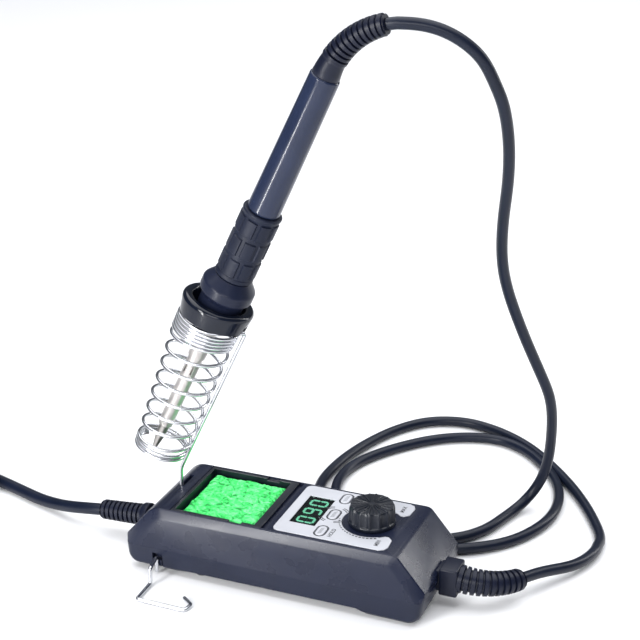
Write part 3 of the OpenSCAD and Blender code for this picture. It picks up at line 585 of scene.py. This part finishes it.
PANEL_Z = 38.8


def flat_shape(name, polygons, z, height, finish, slot, *replaced):
    """Thin raised shapes on the panel, from closed outlines in the base's frame."""
    bm = bmesh.new()
    for outline in polygons:
        verts = [bm.verts.new((AT_BASE @ Vector((x, y, z))) * MM) for x, y in outline]
        face = bm.faces.new(verts)
        if face.normal.z < 0:
            face.normal_flip()
        made = bmesh.ops.extrude_face_region(bm, geom=[face])
        for v in made["geom"]:
            if isinstance(v, bmesh.types.BMVert):
                v.co.z += height * MM
    bmesh.ops.recalc_face_normals(bm, faces=bm.faces)
    return new_piece(name, mesh_from(bm, name, 30), finish, "base", slot, *replaced)


def arc_band(cx, cy, r, a0, a1, width, steps=10):
    angles = [math.radians(a0 + (a1 - a0) * k / steps) for k in range(steps + 1)]
    outer = [(cx + (r + width / 2) * math.cos(a),
              cy + (r + width / 2) * math.sin(a)) for a in angles]
    inner = [(cx + (r - width / 2) * math.cos(a),
              cy + (r - width / 2) * math.sin(a)) for a in angles]
    return outer + inner[::-1]


def oval_band(cx, cy, length, width, line, steps=12):
    """Two half outlines that together ring an oval whose length lies along Y."""
    halves = []
    for sign in (1, -1):
        outer, inner = [], []
        for k in range(steps + 1):
            a = math.pi * k / steps
            for ring, grow in ((outer, line / 2), (inner, -line / 2)):
                r = width / 2 + grow
                y = sign * ((length - width) / 2 + r * math.sin(a))
                ring.append((cx + r * math.cos(a), cy + y))
        end_outer = [(cx - (width / 2 + line / 2), cy)]
        end_inner = [(cx - (width / 2 - line / 2), cy)]
        first_outer = [(cx + (width / 2 + line / 2), cy)]
        first_inner = [(cx + (width / 2 - line / 2), cy)]
        halves.append(first_outer + outer + end_outer + end_inner + inner[::-1] + first_inner)
    return halves


def make_panel_marks():
    marks = []
    for y in (18.9, 0, -18.9):
        marks += oval_band(25.1, y, 11.2, 6.2, 0.7)
    for side in (-1, 1):
        for grow, line in ((7.4, 0.6), (8.7, 0.6)):
            start = 90 - 52 if side > 0 else 270 - 52
            marks.append(arc_band(25.1, 0, grow, start, start + 34, line))
            marks.append(arc_band(25.1, 0, grow, start + 70, start + 104, line))
    dashes = 17
    for i in range(dashes):
        t = i / (dashes - 1)
        a = 187 + 106 * t
        marks.append(arc_band(47, 0, 17.7, a, a + 3.4 + 1.2 * t, 0.5 + 0.55 * t, 3))
    flat_shape("panel_marks", marks, PANEL_Z, 0.02, INK, "plate_metal")
    hatch = []
    for y in (18.9, 0, -18.9):
        for k in range(5):
            s = -2.6 + 1.3 * k
            hatch.append([(24.0, y + s - 0.5), (24.3, y + s - 0.7), (26.2, y + s + 0.5),
                          (25.9, y + s + 0.7)])
    for body, y in (("button_up", 18.9), ("button_down", 0), ("button_hold", -18.9)):
        bm = bmesh.new()
        for quad in hatch:
            if abs(quad[0][1] - y) < 5:
                bm.faces.new([bm.verts.new((AT_BASE @ Vector((a, b, 39.02))) * MM) for a,
                              b in quad])
        new_piece(body + "_mark", mesh_from(bm, body + "_mark", 30), INK, body, "button_plastic")


def panel_word(name, text, x, y, size, turn):
    data = bpy.data.curves.new(name, "FONT")
    data.body = text
    data.size = size * MM
    data.extrude = 0.01 * MM
    data.align_x = "CENTER"
    data.align_y = "CENTER"
    data.offset = 0.00006
    maker = bpy.data.objects.new(name, data)
    scene.collection.objects.link(maker)
    maker.matrix_world = Matrix.Translation((AT_BASE @ Vector((x, y,
                                                               PANEL_Z + 0.02))) * MM) @ Matrix.Rotation(
        math.radians(turn), 4, "Z"
    )
    bpy.context.view_layer.update()
    mesh = bpy.data.meshes.new_from_object(maker)
    mesh.transform(maker.matrix_world)
    bpy.data.objects.remove(maker)
    new_piece(name, mesh, INK, "base", "plate_metal")


make_panel_marks()
panel_word("word_hold", "HOLD", 31.2, -18.9, 3.2, 90)
panel_word("word_min", "MIN", 57.4, -19.9, 3.4, 90)
panel_word("word_max", "MAX", 58.4, 19.4, 3.2, 90)


def make_digits():
    """Seven-segment figures with mitred bars, read from the panel's end."""
    centre_x, pitch_y, arm = 12.45, 9.6, 2.3
    half_across, half_along, thick_bar = 2.35, 2.15, 1.15
    bars = []

    def bar(cx, cy, half, thick, along_x):
        nib = thick * 0.5
        shape = [(-half, 0), (-half + nib, nib), (half - nib, nib), (half, 0), (half - nib, -nib),
                 (-half + nib, -nib)]
        bars.append([(cx + (a if along_x else b), cy + (b if along_x else a)) for a, b in shape])

    for cy, middle, low_left in ((-pitch_y, False, True), (0, True, False), (pitch_y, False, True)):
        for end in (-1, 1):
            bar(centre_x + end * 4.6, cy, half_across, thick_bar, False)
        for side in (-1, 1):
            bar(centre_x - arm, cy + side * 2.6, half_along, thick_bar, True)
        bar(centre_x + arm, cy + 2.6, half_along, thick_bar, True)
        if low_left:
            bar(centre_x + arm, cy - 2.6, half_along, thick_bar, True)
        if middle:
            bar(centre_x, cy, half_across, thick_bar, False)
    flat_shape("lit_bars", bars, 37.62, 0.25, DIGITS, "lit_digits", "display_digits")


make_digits()


def make_knob():
    low, top, r = 39.0, 50.3, 12.85
    flutes, ribs = 14, 20
    outline = [
        (0, low + 8.4), (3.2, low + 8.4, 0.1), (5, low + 6, 0.2), (5, low, 0.2),
        (11, low + 6.5, 0.2), (11.05, low, 0.2),
        (r - 0.2, low, 0.3), (r, low + 1.2, 0.4), (r - 0.1, low + 2.2, 0.5),
    ]
    outline += [(r - 0.1 - 0.05 * k, low + 2.2 + 0.85 * k, 0.1) for k in range(1, 9)]
    outline += [(r - 0.75, top - 1.3, 0.6), (r - 1.5, top, 0.5)]
    outline += [(r - 1.5 - 0.9 * k, top, 0.05) for k in range(1, 12)] + [(0, top)]

    def shape(radius, height, angle):
        if radius > r - 1.2 and height > low + 1.9:
            phase = (angle * flutes / (2 * math.pi)) % 1 - 0.5
            depth = max(0.0, 1 - (phase / 0.42) ** 2)
            fade = min(1.0, (height - low - 1.9) / 0.5)
            radius -= 0.85 * depth ** 0.8 * fade
        if height > top - 0.5 and radius > 0.5:
            phase = (angle * ribs / (2 * math.pi)) % 1 - 0.5
            wide = max(0.12, min(0.3, 0.5 / (radius * 2 * math.pi / ribs)))
            crest = max(0.0, min(1.0, (wide - abs(phase)) / 0.1 + 0.5))
            edge = min(1.0, max(0.0, (radius - 1.6) / 0.8)) * min(1.0,
                                                                  max(0.0,
                                                                      (r - 1.2 - radius) / 0.5))
            height += 0.6 * (crest - 1) * edge
        return radius, height

    mesh = lathe("knob_turned", outline, AT_BASE @ Matrix.Translation((47, 0, 0)), 420, 0.2, shape)
    smooth(mesh, 50)
    new_piece("knob_turned", mesh, KNOB, "knob", "knob_plastic", "control_knob")


make_knob()


# ---- boots ----

def make_boot(name, arc_r, turn, start, ribs, r_start, r_end, core, neck, place, body, node,
              extra=()):
    """A ribbed strain relief that bends from Z towards X, with a smooth neck first."""
    centres, radii = [], []
    per_rib = 14

    def at(angle):
        return Vector((arc_r * (1 - math.cos(angle)), 0, arc_r * math.sin(angle))) + start

    turn, neck = math.radians(turn), math.radians(neck)
    for extra_point, extra_radius in extra:
        centres.append(Vector(extra_point))
        radii.append(extra_radius)
    count = ribs * per_rib
    for i in range(9):
        t = i / 9
        centres.append(at(neck * t))
        radii.append((extra[-1][1] if extra else r_start) * (1 - t) + (r_start - 0.5) * t)
    for i in range(count + 1):
        t = i / count
        phase = (t * ribs) % 1
        body_r = r_start + (r_end - r_start) * t
        wall = core[0] + (core[1] - core[0]) * t
        groove = min(1.0, max(0.0, (phase - 0.62) / 0.07)) * min(1.0,
                                                                 max(0.0, (1.0 - phase) / 0.07))
        centres.append(at(neck + (turn - neck) * t))
        radii.append(body_r + (wall - body_r) * groove - 0.6 * max(0.0, (t - 0.985) / 0.015))
    mesh = sweep(name, centres, radii, place, 64)
    smooth(mesh, 38)
    return new_piece(name, mesh, BOOT, body, "boot_rubber", node) if node else mesh


BARREL_END = 139.1
make_boot(
    "handle_boot_bent", 45.5, 50.6, Vector((0, 0, BARREL_END + 3.1)), 11, 6.9, 5.6, (5.4, 4.5), 9,
    AT_IRON, "iron",
    "handle_boot",
    extra=[((0, 0, BARREL_END - 8), 6.05), ((0, 0, BARREL_END + 0.08), 6.1),
           ((0, 0, BARREL_END + 0.1), 7.2),
           ((0, 0, BARREL_END + 0.5), 7.4), ((0, 0, BARREL_END + 3.0), 7.1)],
)


def boot_with_block(name, node, blocks, tube_mesh):
    """Joins a boot's rounded blocks to its ribbed tube."""
    bm = bmesh.new()
    for low, high, width in blocks:
        made = bmesh.ops.create_cube(bm, size=1)
        for v in made["verts"]:
            v.co = Vector([a + (b - a) * (c + 0.5) for a, b, c in zip(low, high, v.co)])
            v.co = (AT_BASE @ v.co) * MM
        edges = {e for v in made["verts"] for e in v.link_edges}
        bmesh.ops.bevel(bm, geom=list(edges), offset=width * MM, segments=4, profile=0.5,
                        affect="EDGES")
    bm.from_mesh(tube_mesh)
    mesh = mesh_from(bm, name, 38)
    return new_piece(name, mesh, BOOT, "base", "boot_rubber", node)


HALF = 87
GLAND = 14.8
right_place = (
    AT_BASE @ Matrix.Translation((HALF + 10.4, 0, GLAND + 0.4)) @ Matrix.Rotation(math.radians(7),
                                                                                  4, "Y")
    @ Matrix.Rotation(math.radians(90), 4, "Z") @ Matrix.Rotation(math.radians(90), 4, "X")
)
right_tube = make_boot(
    "right_tube", 32.2, 62, Vector((0, 0, 0)), 11, 7.7, 6.0, (6.2, 5.0), 0.01, right_place, "base",
    None,
    extra=[((0, 0, -1), 7.0)],
)
boot_with_block("iron_cord_boot_bent", "iron_cord_boot", [
    ((HALF - 8.2, -7, GLAND - 7), (HALF - 5.8, 7, GLAND + 7), 0.3),
    ((HALF - 6, -6, GLAND - 6), (HALF + 0.8, 6, GLAND + 6), 0.3),
    ((HALF + 0.5, -7.6, GLAND - 7.9), (HALF + 10.7, 7.6, GLAND + 8.3), 1.2),
], right_tube)
left_place = AT_BASE @ Matrix.Translation((-HALF - 0.7, 0,
                                           GLAND)) @ Matrix.Rotation(math.radians(-93.8), 4, "Y")
left_tube = make_boot(
    "left_tube", 4000, 0.3868, Vector((0, 0, 3.8)), 9, 6.3, 5.7, (5.0, 4.6), 0.0001, left_place,
    "base", None,
    extra=[((0, 0, 0), 6.9), ((0, 0, 0.3), 7.2), ((0, 0, 3.6), 7.2), ((0, 0, 4.0), 6.9)],
)
boot_with_block("mains_boot_ribbed", "mains_boot", [
    ((-HALF + 5.1, -6.6, GLAND - 6.6), (-HALF + 7.5, 6.6, GLAND + 6.6), 0.3),
    ((-HALF - 1.4, -5, GLAND - 5), (-HALF + 5.3, 5, GLAND + 5), 0.3),
], left_tube)


# ---- holder ----

def to_holder(p):
    return (Matrix.Translation(-BASE) @ AT_HOLDER).inverted() @ Vector(p)


def make_holder_wire():
    spring_top, closed_top, closed_low, spring_low = -12.6, -23.4, -91.6, -97.0
    top_turns, pitch, wire = 5.16, 9.5, 2.0
    open_end = top_turns + (closed_top - closed_low) / pitch
    turns = open_end + (closed_low - spring_low) / (1.2 * wire)

    def height(t):
        if t < top_turns:
            return spring_top + (closed_top - spring_top) * t / top_turns
        if t < open_end:
            return closed_top - (t - top_turns) * pitch
        return closed_low - (t - open_end) * 1.2 * wire

    per_turn = 56
    steps = round(turns * per_turn)
    coil = []
    for i in range(round(per_turn * 0.16), steps + 1):
        t = turns * i / steps
        z = height(t)
        k = (spring_top - z) / (spring_top - spring_low)
        r = 17.3 + (14.1 - 17.3) * k
        a = 2 * math.pi * t
        coil.append(Vector((max(0.0, 1 - k / 0.14) + r * math.cos(a), -r * math.sin(a), z)))
    corners = [
        to_holder((-67, 12.4, 29.4)), to_holder((-67, 0, 29.4)), to_holder((-67, 0, 49.6)),
        to_holder((-25.6, 0, 137.9)), Vector((17.2, -5.6, spring_top - 0.1)),
    ]
    stem = [corners[0]]
    for a, b, c in zip(corners, corners[1:], corners[2:]):
        first, last = b + (a - b).normalized() * 2.4, b + (c - b).normalized() * 2.4
        stem += [(1 - t) ** 2 * first + 2 * t * (1 - t) * b + t * t * last for t in (k / 8 for k in range(9))]
    line = stem + coil
    join = len(stem)
    line = [p.copy() for p in line]
    for _ in range(6):
        last = line[:]
        for i in list(range(join - 2, join + 8)):
            line[i] = (last[i - 1] + last[i] * 2 + last[i + 1]) / 4
    mesh = sweep("holder_wire_round", line, [wire / 2] * len(line), AT_HOLDER, 16)
    new_piece("holder_wire_round", mesh, STEEL, "base", "holder_steel", "holder_wire")


def make_wire_foot():
    x, y = -67, -33.4
    z, hook = 1.1, 10.4
    corners = [Vector(p) for p in (
        (x, y, 1.4), (x, y, hook), (-64.6, -45.8, hook), (-64.6, -45.8, z), (-64.2, -62.8, z),
        (-35.4, -63.2, z), (-34.4, -57, z), (-41, -52.2, z),
    )]
    line = [corners[0]]
    for a, b, c in zip(corners, corners[1:], corners[2:]):
        reach = min(1.8, (a - b).length * 0.45, (c - b).length * 0.45)
        first, last = b + (a - b).normalized() * reach, b + (c - b).normalized() * reach
        line += [(1 - t) ** 2 * first + 2 * t * (1 - t) * b + t * t * last for t in (k / 8 for k in range(9))]
    line.append(corners[-1])
    mesh = sweep("wire_foot_round", line, [1.1] * len(line), AT_BASE, 20)
    new_piece("wire_foot_round", mesh, STEEL, "foot", "holder_steel", "wire_foot")


make_holder_wire()
make_wire_foot()
softened("holder_collar", COLLAR, "base", "collar_plastic", 0.3, 3, 30)


# ---- iron ----

def make_iron():
    lathes = {
        "front_collar": (FRONT, "front_plastic", [
            (4.3, -7.6, 0.1), (10.6, -7.6, 0.5), (12, -5.4, 0.6), (12, 2.2, 0.5), (13.85, 4.6, 0.3),
            (14.55, 5.2, 0.3), (14.75, 6, 0.3), (14.65, 10.6, 0.3), (14.1, 11.5, 0.5),
            (10.6, 16, 0.4),
            (10.2, 16.6, 0.2), (8.4, 16.6, 0.1), (8.4, 12, 0.2), (5.9, 12, 0.2), (5.9, 1, 0.2),
            (4.3, 1, 0.1),
        ]),
        "handle_barrel": (HANDLE, "handle_plastic", [
            (6, 12, 0.2), (8.2, 12, 0.2), (8.2, 58.2, 0.2), (8.75, 58.6, 0.3), (8.95, 59.4, 0.4),
            (7.95, 138.4, 0.5),
            (7.3, 139.1, 0.3), (6.2, 139.1, 0.2), (6.2, 65, 0.2), (6, 60, 0.2),
        ]),
        "iron_tip": (TIP, "tip_steel", [
            (0, -64.6), (3.6, -64.6, 0.2), (3.6, -87.4, 0.3), (3.1, -88, 0.3), (2.6, -96, 0.8),
            (1.1, -105.8, 0.5),
            (0.5, -107, 0.3), (0, -107),
        ]),
    }
    for node, (finish, slot, outline) in lathes.items():
        mesh = lathe(node + "_turned", outline, AT_IRON, 128, 0.4)
        new_piece(node + "_turned", mesh, finish, "iron", slot, node)


def make_grip():
    """The rubber sleeve: staggered rows of raised pads, and a rolled rim at its top."""
    low, row_h, rows, columns = 17.0, 12.4, 3, 8
    end = 58.6
    outline = [(8.3, low, 0.2), (10.3, low, 0.4), (10.7, low + 0.7, 0.5), (10.2, low + 2.3, 0.4)]
    z = low + 2.7
    while z < end - 4.2:
        outline.append((9.9, z, 0.02))
        z += 0.3
    outline += [(9.95, end - 4, 0.3), (10.35, end - 3, 0.3), (10.75, end - 1.5, 0.4),
                (10.75, end - 0.9, 0.3),
                (10.3, end - 0.3, 0.2), (8.3, end - 0.3, 0.2)]

    def shape(radius, height, angle):
        if 9.85 < radius < 9.94 and low + 2.7 <= height <= end - 4.3:
            row = min(rows - 1, max(0, int((height - low - 2.7) / row_h)))
            start = low + 3.0 + row * row_h
            phase = (angle / (2 * math.pi) * columns - 0.5 * (row % 2)) % 1
            across = min(phase, 1 - phase) * 2 * math.pi * 9.9 / columns
            u = (3.05 - across) / 0.5
            v = min(height - start, start + row_h - 2.3 - height) / 0.55
            lift = max(0.0, min(1.0, min(u, v)))
            radius += 0.8 * (lift * lift * (3 - 2 * lift))
        return radius, height

    mesh = lathe("grip_padded", outline, AT_IRON, 288, 0.3, shape)
    new_piece("grip_padded", mesh, GRIP, "iron", "grip_rubber", "grip_sleeve")


make_iron()
make_grip()
softened("pipe_ferrule", PIPE, "iron", "pipe_steel", 0.06, 2, 30)
softened("heater_pipe", PIPE, "iron", "pipe_steel", 0.08, 2, 30)


# ---- floor and light ----

def make_stage():
    mesh = bpy.data.meshes.new("floor")
    size = 4
    mesh.from_pydata([(-size, -size, 0), (size, -size, 0), (size, size, 0), (-size, size, 0)], [],
                     [(0, 1, 2, 3)])
    floor = bpy.data.objects.new("floor", mesh)
    scene.collection.objects.link(floor)
    dress(floor, surface("floor_white", (0.86, 0.86, 0.87), rough=0.5, mottle=0.004, patch=400,
                         rough_vary=0.02))
    floor.location.z = -0.0002
    world = bpy.data.worlds.new("studio")
    scene.world = world
    world.use_nodes = True
    world.node_tree.nodes["Background"].inputs["Color"].default_value = (0.86, 0.92, 1.0, 1)
    world.node_tree.nodes["Background"].inputs["Strength"].default_value = 0.16

    def softbox(name, place, aim, size, power, tint=(1, 1, 1)):
        data = bpy.data.lights.new(name, "AREA")
        data.shape = "RECTANGLE"
        data.size, data.size_y = size
        data.energy = power
        data.color = tint
        lamp = bpy.data.objects.new(name, data)
        scene.collection.objects.link(lamp)
        lamp.location = place
        lamp.rotation_euler = (Vector(aim) - Vector(place)).to_track_quat("-Z", "Y").to_euler()
        lamp.visible_camera = False
        return lamp

    softbox("top", (0.0, 0.75, 2.3), (0, 0.6, 0), (3.6, 3.6), 118, (0.97, 0.98, 1.0))
    softbox("key", (-0.48, -1.2, 0.62), (0, 0, 0.14), (0.3, 0.9), 15)
    softbox("fill", (0.45, -1.6, 0.68), (0, -0.03, 0.02), (1.3, 0.45), 14)
    softbox("back", (0.9, 1.1, 0.55), (0, 0, 0.1), (0.12, 0.8), 5)
    streak = softbox("streak", (-0.215, -0.404, 0.085), (-0.003, 0.016, 0.244), (0.022, 0.26), 1.1)
    streak.rotation_euler.rotate_axis("Z", math.radians(-22))
    scene.view_settings.view_transform = "Standard"


make_stage()
